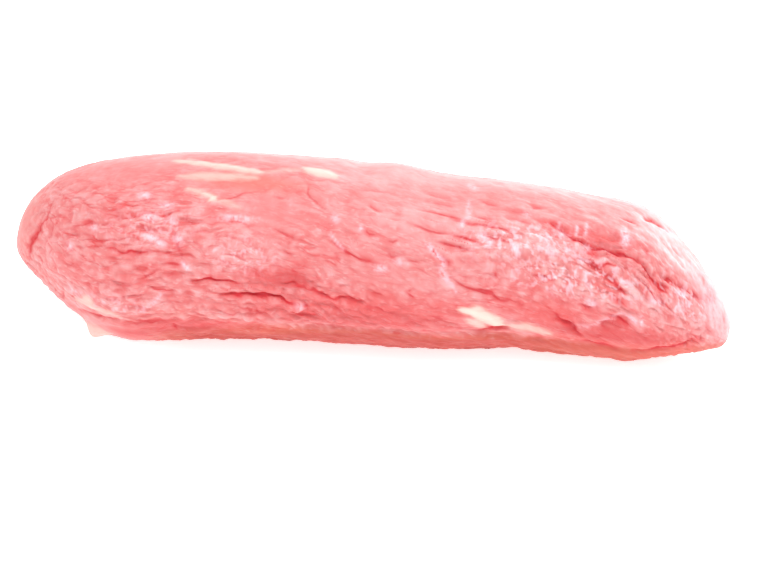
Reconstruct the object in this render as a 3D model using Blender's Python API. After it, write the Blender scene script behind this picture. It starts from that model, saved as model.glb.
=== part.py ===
"""A raw veal round: one long trimmed muscle lying on its flatter side.

X runs along the piece from the blunt end to the thin end, Y from the front to the back, and Z up.
The origin is on the table under the middle of the piece's box. Sizes are in millimetres until the mesh is
scaled to metres at the end.
"""

import random

import bmesh
import bpy
import numpy as np
from mathutils import Vector, noise

MILLIMETRE = 0.001

# Cross-sections from the blunt end to the thin end:
# place along X, front edge, back edge, top, underside. An underside below 0 is cut flat by the table.
SECTIONS = np.array(
    [
        (-131.0, -18.0, -18.0, 28.0, 28.0),
        (-128.5, -23.0, -5.0, 40.0, 18.5),
        (-121.0, -26.5, 9.5, 47.0, 8.0),
        (-108.0, -37.0, 18.0, 53.5, 0.5),
        (-88.0, -44.5, 25.0, 57.0, -6.0),
        (-62.0, -43.5, 30.0, 58.0, -4.0),
        (-34.0, -41.0, 32.5, 57.0, -3.0),
        (-4.0, -39.0, 33.0, 56.0, -3.0),
        (26.0, -37.0, 31.0, 54.0, -3.0),
        (54.0, -31.5, 29.5, 53.0, -3.0),
        (78.0, -31.5, 28.0, 51.0, -3.0),
        (98.0, -31.0, 24.5, 48.5, -3.0),
        (113.0, -28.0, 14.5, 38.0, 2.5),
        (124.0, -24.0, -1.0, 29.5, 6.5),
        (129.5, -21.0, -11.0, 22.0, 10.0),
        (131.0, -15.5, -15.5, 16.5, 16.5),
    ]
)
OUTLINE_POWER = 2.35  # 2 gives an ellipse, more gives fuller corners
ROUND_ENDS = 2.0  # sections at each end over which the outline turns back into an ellipse

# Number of faces along the sides, across the ends, and length of the two domed ends
FACES_ALONG = 46
FACES_ACROSS = 26
DOME_LENGTH = 30.0

# Places on the skin are (length, turn): length in mm over the skin from the blunt tip,
# turn in degrees from the top line, positive towards the front.

# Broad swells and hollows: length, turn, half length, half width, height
SWELLS = (
    (50, 127, 3.6, 3.2, 4.0),  # flap of fat at the lower front
    (142, -26, 6.0, 10.0, -1.3),  # dip in the back edge
    (156, -31, 10.0, 9.0, 1.2),  # swell beside it
    (126, 67, 6.0, 6.0, -0.9),  # dark hollow in the front
    (82, 66, 16.0, 6.0, 0.5),
    (106, 93, 28.0, 5.0, 0.6),
    (188, 46, 16.0, 5.0, 0.6),
    (229, 21, 12.0, 4.5, -1.3),  # valley above the long crease
    (232, 39, 12.0, 4.0, 0.9),  # ridge below it
    (257, 37, 6.0, 2.6, -1.6),  # pocket near the thin end
    (250, 55, 12.0, 5.0, 0.8),
    (132, 78, 3.5, 3.0, 1.0),  # round lump below the dark hollow
    (126, 88, 2.2, 2.0, 1.2),  # small nub in front of it
    (236, 88, 4.0, 3.0, -1.2),  # hollows under the lip at the lower front
    (241, 80, 2.6, 2.4, -1.0),
)

# Creases: depth, half width, then the places that the crease runs through
CREASES = (
    # blunt end
    (0.9, 2.0, (31, 24), (29, 40), (25, 52), (21, 68), (19, 82)),
    (0.5, 1.5, (40, 46), (53, 38)),
    (0.5, 1.3, (67, 22), (74, 23)),
    (0.6, 1.5, (68, 40), (81, 42)),
    (0.9, 1.6, (60, 54), (75, 54)),
    (0.6, 1.4, (77, 54), (86, 54)),
    (0.7, 1.6, (72, 75), (84, 80)),
    (0.5, 1.3, (87, 42), (95, 42)),
    (0.5, 1.3, (99, 54), (110, 56)),
    (0.8, 2.0, (64, 105), (82, 104)),
    (0.5, 1.2, (50, 50), (62, 46), (69, 45)),
    (0.6, 1.4, (81, 35), (82, 46), (87, 61)),
    (0.8, 1.5, (66, 108), (78, 104)),
    (0.6, 1.3, (70, 72), (78, 64)),
    (0.8, 1.4, (81, 108), (82, 116)),
    # middle
    (0.5, 1.2, (93, 22), (99, 19), (109, 11)),
    (1.3, 1.4, (89, 72), (96, 70), (107, 72)),
    (1.7, 1.4, (99, 82), (112, 80), (120, 82), (127, 86)),
    (0.7, 1.4, (116, 37), (125, 43)),
    (1.2, 1.6, (125, 70), (137, 78), (149, 80)),
    (0.5, 1.1, (125, 0), (126, 12), (136, 26)),
    (0.8, 1.7, (136, 40), (143, 49), (156, 54)),
    (0.7, 1.5, (124, 97), (131, 96)),
    (0.6, 1.6, (151, 84), (162, 89)),
    # thin end
    (0.7, 1.6, (167, 12), (183, 20)),
    (0.7, 1.6, (163, 24), (178, 30)),
    (0.8, 1.6, (174, 36), (187, 41)),
    (0.8, 1.7, (184, 21), (201, 28)),
    (0.8, 1.6, (190, 30), (201, 36)),
    (0.9, 1.5, (172, 41), (179, 50)),
    (1.2, 1.8, (179, 59), (190, 68), (206, 80)),
    (0.7, 1.5, (209, 56), (217, 57)),
    (2.0, 1.9, (214, 15), (226, 28), (239, 32), (246, 33)),
    (1.4, 1.8, (246, 33), (249, 40), (254, 46), (258, 48)),
    (1.2, 1.6, (254, 35), (262, 38)),
    (0.8, 1.4, (223, 39), (230, 42), (241, 42)),
    (0.9, 1.5, (233, 46), (239, 56), (242, 60)),
    (0.8, 1.4, (244, 45), (251, 55), (258, 62)),
    (0.8, 1.5, (262, 35), (272, 40)),
    (2.0, 1.8, (215, 79), (221, 88), (227, 99)),
    (1.1, 2.0, (236, 77), (244, 86)),
    (1.0, 1.8, (246, 114), (256, 109), (266, 104), (273, 98)),
    (1.8, 1.5, (194, 102), (201, 100)),
    (0.6, 1.4, (239, -1), (244, 3)),
    (0.9, 1.6, (247, -11), (256, -15)),
)

# The side away from the front has creases of the same kind, drawn at random along the grain:
# how many, then the least and most of each measure
BACK_CREASES = 22
BACK_LENGTHS = (32.0, 255.0)
BACK_TURNS = (-152.0, -48.0)
BACK_RUNS = (8.0, 28.0)
BACK_DEPTHS = (0.5, 1.4)
BACK_HALF_WIDTHS = (1.3, 1.9)
BACK_SWERVE = (-3.0, 8.0)

# Strips of fat and silver skin left on the surface: height, half width, then the places
FAT_STRIPS = (
    (0.5, 1.6, (75, -14), (84, -12), (95, -7), (109, -3)),
    (0.3, 1.6, (81, 0), (94, 1), (106, 0)),
    (0.6, 2.4, (122, -11), (128, -9), (134, -6)),
    (0.5, 1.4, (83, 14), (88, 16), (93, 20), (100, 23)),
    (0.9, 2.8, (184, 82), (190, 87), (197, 95)),
    (0.5, 1.4, (197, 96), (204, 98), (214, 105)),
    (0.4, 1.4, (171, 39), (176, 49), (179, 64)),
    (0.4, 1.5, (44, 101), (52, 99), (61, 101)),
)

# Lower front edge, where the side turns under: a groove along the piece
TUCK_DEPTH = 0.8
TUCK_HALF_WIDTH = 2.2
TUCK = ((84, 112), (112, 110), (135, 105), (191, 105), (214, 110), (248, 113))

# Muscle bundles: soft ridges that follow the grain
BUNDLE_HEIGHT = 0.5
BUNDLE_LENGTH = 30.0
BUNDLE_WIDTH = 4.4
LUMP_HEIGHT = 0.6
LUMP_SIZE = 24.0
GIRTH_RADIUS = 35.0
TIP_RADIUS = 14.0  # the ridges fade out where the body is thinner than this
SEED = 7.3

# Slope of the grain towards the front, as (length, slope) steps that add up
GRAIN_STEPS = ((108.0, 12.0, 0.22), (200.0, 15.0, 0.08), (238.0, 8.0, 0.35))


def section_at(rank):
    """The section at a rank between the rows, on a smooth curve that closes at both tips."""
    swap = [0, 2, 1, 4, 3]
    rows = np.vstack([SECTIONS[1][swap], SECTIONS, SECTIONS[-2][swap]])
    low = np.clip(rank.astype(int), 0, len(SECTIONS) - 2)
    part = (rank - low)[:, None]
    before, start, end, after = (rows[low + k] for k in range(4))
    cubic = 3 * (start - end) + after - before
    square = 2 * before - 5 * start + 4 * end - after
    return start + 0.5 * part * (end - before + part * (square + part * cubic))


def skin_at(rank, turn):
    """Points of the smooth body, as rows of X, Y, Z."""
    x, front, back, top, under = section_at(rank).T
    angle = np.radians(turn)
    across, up = -np.sin(angle), np.cos(angle)
    inward = np.clip(np.minimum(rank, len(SECTIONS) - 1 - rank) / ROUND_ENDS, 0, 1)
    power = 2 + (OUTLINE_POWER - 2) * inward
    reach = (np.abs(across) ** power + np.abs(up) ** power) ** (-1 / power)
    y = (front + back) / 2 + (back - front) / 2 * across * reach
    z = (top + under) / 2 + (top - under) / 2 * up * reach
    return np.stack([x, y, z], axis=-1)


def skin_lengths():
    """Ranks in small steps, and the length over the skin from the blunt tip to each."""
    ranks = np.linspace(0, len(SECTIONS) - 1, 2001)
    total = np.zeros(len(ranks))
    for turn in (-90, 0, 90, 180):
        steps = np.diff(skin_at(ranks, np.full(len(ranks), turn)), axis=0)
        total[1:] += np.cumsum(np.linalg.norm(steps, axis=1)) / 4
    return ranks, total


RANKS, LENGTHS = skin_lengths()


def radius_at(length):
    """Mean radius of the body at each length."""
    x, front, back, top, under = section_at(np.interp(length, LENGTHS, RANKS)).T
    return (back - front + top - under) / 4


def grain_drift(length):
    """How far the grain has moved towards the front, in mm."""
    drift = np.zeros(len(length))
    for place, spread, slope in GRAIN_STEPS:
        drift += slope * spread * np.logaddexp(0, (length - place) / spread)
    return drift


def line_distance(length, turn, places):
    """Distance over the skin from a line through places, and how far along that line, 0 to 1."""
    radius = np.maximum(radius_at(length), 1.0)
    near = np.full(len(length), np.inf)
    where = np.zeros(len(length))
    count = len(places) - 1
    for index, ((length_a, turn_a), (length_b, turn_b)) in enumerate(zip(places, places[1:])):
        dx, dy = length_b - length_a, np.radians(turn_b - turn_a) * radius
        px, py = length - length_a, np.radians(turn - turn_a) * radius
        along = np.clip((px * dx + py * dy) / (dx * dx + dy * dy), 0, 1)
        gap = np.hypot(px - along * dx, py - along * dy)
        closer = gap < near
        near = np.where(closer, gap, near)
        where = np.where(closer, (index + along) / count, where)
    return near, where


def line_relief(length, turn, half_width, places):
    """1 on a line through places, falling to 0 beside it and towards its ends."""
    gap, where = line_distance(length, turn, places)
    return np.exp(-((gap / half_width) ** 2)) * np.sin(np.pi * (0.1 + 0.8 * where)) ** 0.5


def grain_noise(length, turn, step_along, step_across, seed):
    """Smooth noise drawn out along the grain."""
    angle = np.radians(turn) - grain_drift(length) / GIRTH_RADIUS
    y = GIRTH_RADIUS * np.cos(angle) / step_across
    z = GIRTH_RADIUS * np.sin(angle) / step_across
    columns = zip(length / step_along + seed, y, z)
    return np.array([noise.noise(Vector(place)) for place in columns])


def back_creases():
    """Creases of the back, in rows as in the table of creases."""
    pick = random.Random(SEED)
    rows = []
    for _ in range(BACK_CREASES):
        start, turn = pick.uniform(*BACK_LENGTHS), pick.uniform(*BACK_TURNS)
        end = (start + pick.uniform(*BACK_RUNS), turn + pick.uniform(*BACK_SWERVE))
        depth, half_width = pick.uniform(*BACK_DEPTHS), pick.uniform(*BACK_HALF_WIDTHS)
        rows.append((depth, half_width, (start, turn), end))
    return rows


def relief(length, turn):
    """Height of the surface over the smooth body, in mm."""
    thick = np.clip(radius_at(length) / TIP_RADIUS, 0, 1) ** 2
    height = BUNDLE_HEIGHT * grain_noise(length, turn, BUNDLE_LENGTH, BUNDLE_WIDTH, SEED)
    height += LUMP_HEIGHT * grain_noise(length, turn, 2 * LUMP_SIZE, LUMP_SIZE, 2 * SEED)
    height *= thick
    radius = radius_at(length)
    for place, place_turn, half_length, half_width, swell in SWELLS:
        across = np.radians(turn - place_turn) * radius / half_width
        height += swell * np.exp(-(((length - place) / half_length) ** 2) - across**2)
    for depth, half_width, *places in [*CREASES, *back_creases()]:
        height -= depth * line_relief(length, turn, half_width, places)
    for rise, half_width, *places in FAT_STRIPS:
        height += rise * line_relief(length, turn, half_width, places)
    return height - TUCK_DEPTH * line_relief(length, turn, TUCK_HALF_WIDTH, TUCK)


def clear_scene():
    for thing in list(bpy.data.objects):
        bpy.data.objects.remove(thing, do_unlink=True)


def place_on_body(bm):
    """Length and turn of each vertex of a divided cube from -1 to 1, which wraps the body."""
    cube = np.array([vertex.co[:] for vertex in bm.verts])
    x, y, z = cube.T
    ring = np.maximum(np.abs(y), np.abs(z))
    safe = np.where(ring > 0, ring, 1.0)
    upright = np.abs(z) >= np.abs(y)
    turn = np.where(upright, -45 * y / safe * np.sign(z), 90 - 45 * z / safe)
    turn = np.where(upright & (z < 0), 180 + turn, turn)
    turn = np.where(~upright & (y > 0), -90 + 45 * z / safe, turn)
    whole = LENGTHS[-1]
    side = DOME_LENGTH + (x + 1) / 2 * (whole - 2 * DOME_LENGTH)
    on_end = np.abs(x) > 1 - 1e-6
    length = np.where(on_end & (x < 0), ring * DOME_LENGTH, side)
    length = np.where(on_end & (x > 0), whole - ring * DOME_LENGTH, length)
    return length, turn


def centre_on_table(bm):
    """Moves the piece so that the origin is under the middle of its box."""
    places = np.array([vertex.co[:] for vertex in bm.verts])
    middle = (places.min(axis=0) + places.max(axis=0)) / 2
    bmesh.ops.translate(bm, vec=Vector((-middle[0], -middle[1], 0.0)), verts=bm.verts)


def veal_mesh():
    """The muscle: a divided cube wrapped on the body, with its relief, cut flat by the table."""
    bm = bmesh.new()
    bmesh.ops.create_cube(bm, size=2.0)
    for axis, faces in ((0, FACES_ALONG), (1, FACES_ACROSS), (2, FACES_ACROSS)):
        edges = [e for e in bm.edges if abs(e.verts[0].co[axis] - e.verts[1].co[axis]) > 1]
        bmesh.ops.subdivide_edges(bm, edges=edges, cuts=faces - 1, use_grid_fill=True)
    length, turn = place_on_body(bm)
    body = skin_at(np.interp(length, LENGTHS, RANKS), turn)
    for vertex, place in zip(bm.verts, body):
        vertex.co = place
    bm.normal_update()
    for vertex, height in zip(bm.verts, relief(length, turn)):
        vertex.co += vertex.normal * height
        vertex.co.z = max(vertex.co.z, 0.0)
    centre_on_table(bm)
    bmesh.ops.scale(bm, vec=Vector((1, 1, 1)) * MILLIMETRE, verts=bm.verts)
    bmesh.ops.triangulate(bm, faces=bm.faces)
    bmesh.ops.recalc_face_normals(bm, faces=bm.faces)
    mesh = bpy.data.meshes.new("veal_round")
    bm.to_mesh(mesh)
    bm.free()
    mesh.shade_smooth()
    return mesh


def raw_meat():
    """Pink, moist lean meat."""
    material = bpy.data.materials.new("raw_veal")
    material.use_nodes = True
    shader = material.node_tree.nodes["Principled BSDF"]
    shader.inputs["Base Color"].default_value = (0.86, 0.24, 0.23, 1.0)
    shader.inputs["Roughness"].default_value = 0.38
    shader.inputs["Metallic"].default_value = 0.0
    return material


clear_scene()
veal_round = bpy.data.objects.new("veal_round", veal_mesh())
veal_round.data.materials.append(raw_meat())
bpy.context.scene.collection.objects.link(veal_round)
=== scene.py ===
"""A raw veal round on a pale surface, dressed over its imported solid."""

import random

import bmesh
import bpy
import numpy as np
from mathutils import Matrix, Vector, noise


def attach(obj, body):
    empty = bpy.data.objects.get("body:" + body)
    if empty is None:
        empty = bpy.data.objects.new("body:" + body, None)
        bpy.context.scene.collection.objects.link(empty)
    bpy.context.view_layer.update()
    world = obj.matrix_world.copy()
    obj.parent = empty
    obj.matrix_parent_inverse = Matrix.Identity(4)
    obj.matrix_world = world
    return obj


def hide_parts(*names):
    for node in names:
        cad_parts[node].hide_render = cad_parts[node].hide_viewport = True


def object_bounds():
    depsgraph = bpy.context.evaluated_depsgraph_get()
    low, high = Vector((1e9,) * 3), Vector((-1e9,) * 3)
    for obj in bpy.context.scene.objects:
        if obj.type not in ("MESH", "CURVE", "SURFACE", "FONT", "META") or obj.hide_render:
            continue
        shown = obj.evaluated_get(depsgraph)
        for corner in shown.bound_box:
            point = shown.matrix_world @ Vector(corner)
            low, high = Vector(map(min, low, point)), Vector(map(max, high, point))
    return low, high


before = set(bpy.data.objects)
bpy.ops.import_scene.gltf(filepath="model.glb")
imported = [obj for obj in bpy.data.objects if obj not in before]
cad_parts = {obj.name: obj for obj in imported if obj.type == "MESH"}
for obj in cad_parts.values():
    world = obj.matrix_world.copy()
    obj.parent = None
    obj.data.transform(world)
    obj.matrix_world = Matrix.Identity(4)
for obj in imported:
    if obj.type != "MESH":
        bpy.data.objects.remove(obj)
cad_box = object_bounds()

# The muscle is one long veal eye of round, cut whole from the leg and lying on its flatter side.
# It is solid lean meat under a thin moist skin. Places on it are a length over the skin from the
# blunt tip, in mm, and a turn from the top line in degrees, positive towards the front.
SECTIONS = np.array(
    [
        (-131.0, -18.0, -18.0, 28.0, 28.0),
        (-128.5, -23.0, -5.0, 40.0, 18.5),
        (-121.0, -26.5, 9.5, 47.0, 8.0),
        (-108.0, -37.0, 18.0, 53.5, 0.5),
        (-88.0, -44.5, 25.0, 57.0, -6.0),
        (-62.0, -43.5, 30.0, 58.0, -4.0),
        (-34.0, -41.0, 32.5, 57.0, -3.0),
        (-4.0, -39.0, 33.0, 56.0, -3.0),
        (26.0, -37.0, 31.0, 54.0, -3.0),
        (54.0, -31.5, 29.5, 53.0, -3.0),
        (78.0, -31.5, 28.0, 51.0, -3.0),
        (98.0, -31.0, 24.5, 48.5, -3.0),
        (113.0, -28.0, 14.5, 38.0, 2.5),
        (124.0, -24.0, -1.0, 29.5, 6.5),
        (129.5, -21.0, -11.0, 22.0, 10.0),
        (131.0, -15.5, -15.5, 16.5, 16.5),
    ]
)
OUTLINE_POWER = 2.35
ROUND_ENDS = 2.0
FACES_ALONG = 220
FACES_ACROSS = 88
DOME_LENGTH = 30.0
CROWDING = 0.3
CROWDED_TURN = 45.0
LENGTH_STEPS = 2001
MM = 0.001


def section_at(rank):
    """Section at a rank between the rows: place along X, front, back, top and underside."""
    swap = [0, 2, 1, 4, 3]
    rows = np.vstack([SECTIONS[1][swap], SECTIONS, SECTIONS[-2][swap]])
    low = np.clip(rank.astype(int), 0, len(SECTIONS) - 2)
    part = (rank - low)[:, None]
    before, start, end, after = (rows[low + k] for k in range(4))
    cubic = 3 * (start - end) + after - before
    square = 2 * before - 5 * start + 4 * end - after
    return start + 0.5 * part * (end - before + part * (square + part * cubic))


def skin_at(rank, turn):
    """Points of the smooth muscle, in mm."""
    x, front, back, top, under = section_at(rank).T
    angle = np.radians(turn)
    across, up = -np.sin(angle), np.cos(angle)
    inward = np.clip(np.minimum(rank, len(SECTIONS) - 1 - rank) / ROUND_ENDS, 0, 1)
    power = 2 + (OUTLINE_POWER - 2) * inward
    reach = (np.abs(across) ** power + np.abs(up) ** power) ** (-1 / power)
    y = (front + back) / 2 + (back - front) / 2 * across * reach
    z = (top + under) / 2 + (top - under) / 2 * up * reach
    return np.stack([x, y, z], axis=-1)


def skin_lengths():
    """Ranks in small steps, and the length over the skin from the blunt tip to each."""
    ranks = np.linspace(0, len(SECTIONS) - 1, LENGTH_STEPS)
    total = np.zeros(len(ranks))
    for turn in (-90, 0, 90, 180):
        steps = np.diff(skin_at(ranks, np.full(len(ranks), turn)), axis=0)
        total[1:] += np.cumsum(np.linalg.norm(steps, axis=1)) / 4
    return ranks, total


def radius_at(length):
    """Mean radius of the muscle at each length."""
    x, front, back, top, under = section_at(np.interp(length, LENGTHS, RANKS)).T
    return (back - front + top - under) / 4


def divided_cube():
    """A cube from -1 to 1, divided finely enough to carry the grain of the meat."""
    bm = bmesh.new()
    bmesh.ops.create_cube(bm, size=2.0)
    for axis, faces in ((0, FACES_ALONG), (1, FACES_ACROSS), (2, FACES_ACROSS)):
        edges = [e for e in bm.edges if abs(e.verts[0].co[axis] - e.verts[1].co[axis]) > 1]
        bmesh.ops.subdivide_edges(bm, edges=edges, cuts=faces - 1, use_grid_fill=True)
    mesh = bpy.data.meshes.new("veal_muscle")
    bm.to_mesh(mesh)
    bm.free()
    return mesh


def mesh_values(items, name):
    """One value of three numbers of every item of a mesh, as rows."""
    values = np.empty(len(items) * 3, np.float32)
    items.foreach_get(name, values)
    return values.reshape(-1, 3).astype(float)


def place_on_muscle(cube):
    """Length and turn of each corner of the cube once it wraps the muscle."""
    x, y, z = cube.T
    ring = np.maximum(np.abs(y), np.abs(z))
    safe = np.where(ring > 0, ring, 1.0)
    upright = np.abs(z) >= np.abs(y)
    turn = np.where(upright, -45 * y / safe * np.sign(z), 90 - 45 * z / safe)
    turn = np.where(upright & (z < 0), 180 + turn, turn)
    turn = np.where(~upright & (y > 0), -90 + 45 * z / safe, turn)
    turn -= CROWDING * np.degrees(np.sin(np.radians(turn - CROWDED_TURN)))
    whole = LENGTHS[-1]
    side = DOME_LENGTH + (x + 1) / 2 * (whole - 2 * DOME_LENGTH)
    on_end = np.abs(x) > 1 - 1e-6
    length = np.where(on_end & (x < 0), ring * DOME_LENGTH, side)
    length = np.where(on_end & (x > 0), whole - ring * DOME_LENGTH, length)
    return length, turn


RANKS, LENGTHS = skin_lengths()
veal_mesh = divided_cube()
length, turn = place_on_muscle(mesh_values(veal_mesh.vertices, "co"))
radius = radius_at(length)
body = skin_at(np.interp(length, LENGTHS, RANKS), turn)
veal_mesh.vertices.foreach_set("co", body.ravel())
veal_mesh.update()
normal = mesh_values(veal_mesh.vertex_normals, "vector")

# The muscle swells and sinks where its thick bundles of lean lie side by side under the skin. They
# run lengthwise, and swing to the front past the middle and again at the thin end. They hardly
# show where the thin skin still holds the meat smooth.
BUNDLE_HEIGHT = 0.5
BUNDLE_LENGTH = 30.0
BUNDLE_WIDTH = 4.4
LUMP_HEIGHT = 0.6
LUMP_SIZE = 24.0
GIRTH_RADIUS = 35.0
TIP_RADIUS = 14.0
SMOOTHED_AWAY = 0.7
PATCH_EDGE = 1.5
SEED = 7.3

# Where the grain begins to drift to the front: length, spread of the bend, slope
GRAIN_STEPS = ((108.0, 12.0, 0.22), (200.0, 15.0, 0.08), (238.0, 8.0, 0.35))

# Broad swells and hollows: length, turn, half length, half width, height
SWELLS = (
    (50, 127, 3.6, 3.2, 4.0),
    (142, -26, 6.0, 10.0, -1.3),
    (156, -31, 10.0, 9.0, 1.2),
    (126, 67, 6.0, 6.0, -0.9),
    (82, 66, 16.0, 6.0, 0.5),
    (106, 93, 28.0, 5.0, 0.6),
    (188, 46, 16.0, 5.0, 0.6),
    (229, 21, 12.0, 4.5, -1.3),
    (232, 39, 12.0, 4.0, 0.9),
    (257, 37, 6.0, 2.6, -1.6),
    (250, 55, 12.0, 5.0, 0.8),
    (132, 78, 3.5, 3.0, 1.0),
    (126, 88, 2.2, 2.0, 1.8),
    (236, 88, 4.0, 3.0, -1.2),
    (241, 80, 2.6, 2.4, -1.0),
)

# Smooth patches: length, turn, half length, half turn, share
SMOOTH = (
    (52, -14, 36, 26, 1.0),
    (12, 30, 13, 60, 1.0),
    (98, 2, 26, 15, 1.0),
    (114, 24, 14, 16, 0.8),
    (140, -36, 170, 36, 0.9),
    (200, -6, 70, 24, 0.6),
    (256, -14, 24, 14, 0.5),
    (58, 118, 18, 10, 0.9),
    (150, 116, 60, 8, 0.4),
    (252, 116, 46, 12, 0.8),
    (277, 5, 20, 64, 1.0),
    (260, -4, 26, 26, 0.9),
    (164, 66, 14, 12, 0.5),
)


def grain_drift(length):
    """How far the grain has moved towards the front, in mm."""
    drift = np.zeros(len(length))
    for place, spread, slope in GRAIN_STEPS:
        drift += slope * spread * np.logaddexp(0, (length - place) / spread)
    return drift


def grain_noise(grain, step_along, step_across, seed):
    """Smooth noise drawn out along the grain, with steps in mm."""
    scaled = grain / (step_along, step_across, step_across) + (seed, 0, 0)
    return np.array([noise.noise(Vector(place)) for place in scaled])


def patch_share(patches):
    """Largest share that any patch has at each place, fading out from its middle."""
    share = np.zeros(len(length))
    for place, place_turn, half_length, half_turn, most in patches:
        away = ((length - place) / half_length) ** 2 + ((turn - place_turn) / half_turn) ** 2
        share = np.maximum(share, most * np.exp(-(away**PATCH_EDGE)))
    return share


def grain_place(angle, reach):
    """Places on the straightened muscle, with X along the grain, in mm."""
    return np.stack([length, reach * np.cos(angle), reach * np.sin(angle)], axis=-1)


drift = grain_drift(length)
grain = grain_place(np.radians(turn) - drift / GIRTH_RADIUS, GIRTH_RADIUS)
thick = np.clip(radius / TIP_RADIUS, 0, 1) ** 2
smooth = patch_share(SMOOTH)
height = (1 - SMOOTHED_AWAY * smooth) * grain_noise(grain, BUNDLE_LENGTH, BUNDLE_WIDTH, SEED)
height *= BUNDLE_HEIGHT
height += LUMP_HEIGHT * grain_noise(grain, 2 * LUMP_SIZE, LUMP_SIZE, 2 * SEED)
height *= thick
for place, place_turn, half_length, half_width, swell in SWELLS:
    across = np.radians(turn - place_turn) * radius / half_width
    height += swell * np.exp(-(((length - place) / half_length) ** 2) - across**2)

# Creases are gaps between bundles that opened when the muscle was pulled off its neighbours. Each
# row is a depth, a half width and the places that the crease runs through. Where the grain is
# long they hardly waver: those patches are length, turn, half length, half turn and share.
CREASES = (
    (0.7, 1.8, (31, 24), (29, 40), (25, 52), (21, 68), (19, 82)),
    (0.5, 1.5, (40, 46), (53, 38)),
    (0.5, 1.3, (67, 22), (74, 23)),
    (0.6, 1.5, (68, 40), (81, 42)),
    (0.9, 1.6, (60, 54), (75, 54)),
    (0.6, 1.4, (77, 54), (86, 54)),
    (0.7, 1.6, (72, 75), (84, 80)),
    (0.5, 1.3, (87, 42), (95, 42)),
    (0.5, 1.3, (99, 54), (110, 56)),
    (0.4, 1.8, (64, 105), (82, 104)),
    (0.5, 1.2, (50, 50), (62, 46), (69, 45)),
    (0.6, 1.4, (81, 35), (82, 46), (87, 61)),
    (0.6, 1.4, (66, 108), (78, 104)),
    (0.6, 1.3, (70, 72), (78, 64)),
    (0.8, 1.4, (81, 108), (82, 116)),
    (0.5, 1.2, (93, 22), (99, 19), (109, 11)),
    (1.3, 1.4, (89, 72), (96, 70), (107, 72)),
    (1.7, 1.4, (99, 82), (112, 80), (120, 82), (127, 86)),
    (0.7, 1.4, (116, 37), (125, 43)),
    (0.7, 1.6, (125, 70), (137, 78), (149, 80)),
    (0.5, 1.1, (125, 0), (126, 12), (136, 26)),
    (0.8, 1.7, (136, 40), (143, 49), (156, 54)),
    (0.7, 1.5, (124, 97), (131, 96)),
    (0.6, 1.6, (151, 84), (162, 89)),
    (0.7, 1.5, (166, 14), (175, 16), (183, 20)),
    (0.7, 1.5, (163, 25), (173, 29), (178, 30)),
    (0.9, 1.4, (174, 36), (187, 41)),
    (0.8, 1.7, (184, 21), (201, 28)),
    (0.8, 1.6, (190, 30), (201, 36)),
    (0.9, 1.5, (172, 41), (179, 50)),
    (0.8, 1.6, (179, 59), (190, 68), (206, 80)),
    (0.7, 1.5, (209, 56), (217, 57)),
    (1.7, 1.8, (214, 16), (220, 24), (227, 29), (239, 32), (245, 34)),
    (0.9, 1.5, (245, 34), (248, 39), (254, 46), (258, 48)),
    (0.8, 1.6, (255, 37), (261, 38)),
    (0.8, 1.4, (223, 39), (230, 42), (241, 42)),
    (0.9, 1.5, (233, 46), (239, 56), (242, 60)),
    (0.8, 1.4, (244, 45), (251, 55), (258, 62)),
    (0.8, 1.5, (262, 35), (272, 40)),
    (0.8, 1.7, (215, 79), (221, 90), (227, 99)),
    (1.1, 2.0, (236, 77), (244, 86)),
    (1.0, 1.8, (246, 114), (256, 109), (266, 104), (273, 98)),
    (1.8, 1.5, (194, 102), (201, 100)),
    (0.6, 1.4, (239, -1), (244, 3)),
    (0.9, 1.6, (247, -11), (256, -15)),
)

# The back has creases of the same kind, drawn at random along the grain: least and most of each
BACK_CREASES = 22
BACK_LENGTHS = (32.0, 255.0)
BACK_TURNS = (-152.0, -48.0)
BACK_RUNS = (8.0, 28.0)
BACK_DEPTHS = (0.5, 1.4)
BACK_HALF_WIDTHS = (1.3, 1.9)
BACK_SWERVE = (-3.0, 8.0)

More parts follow.
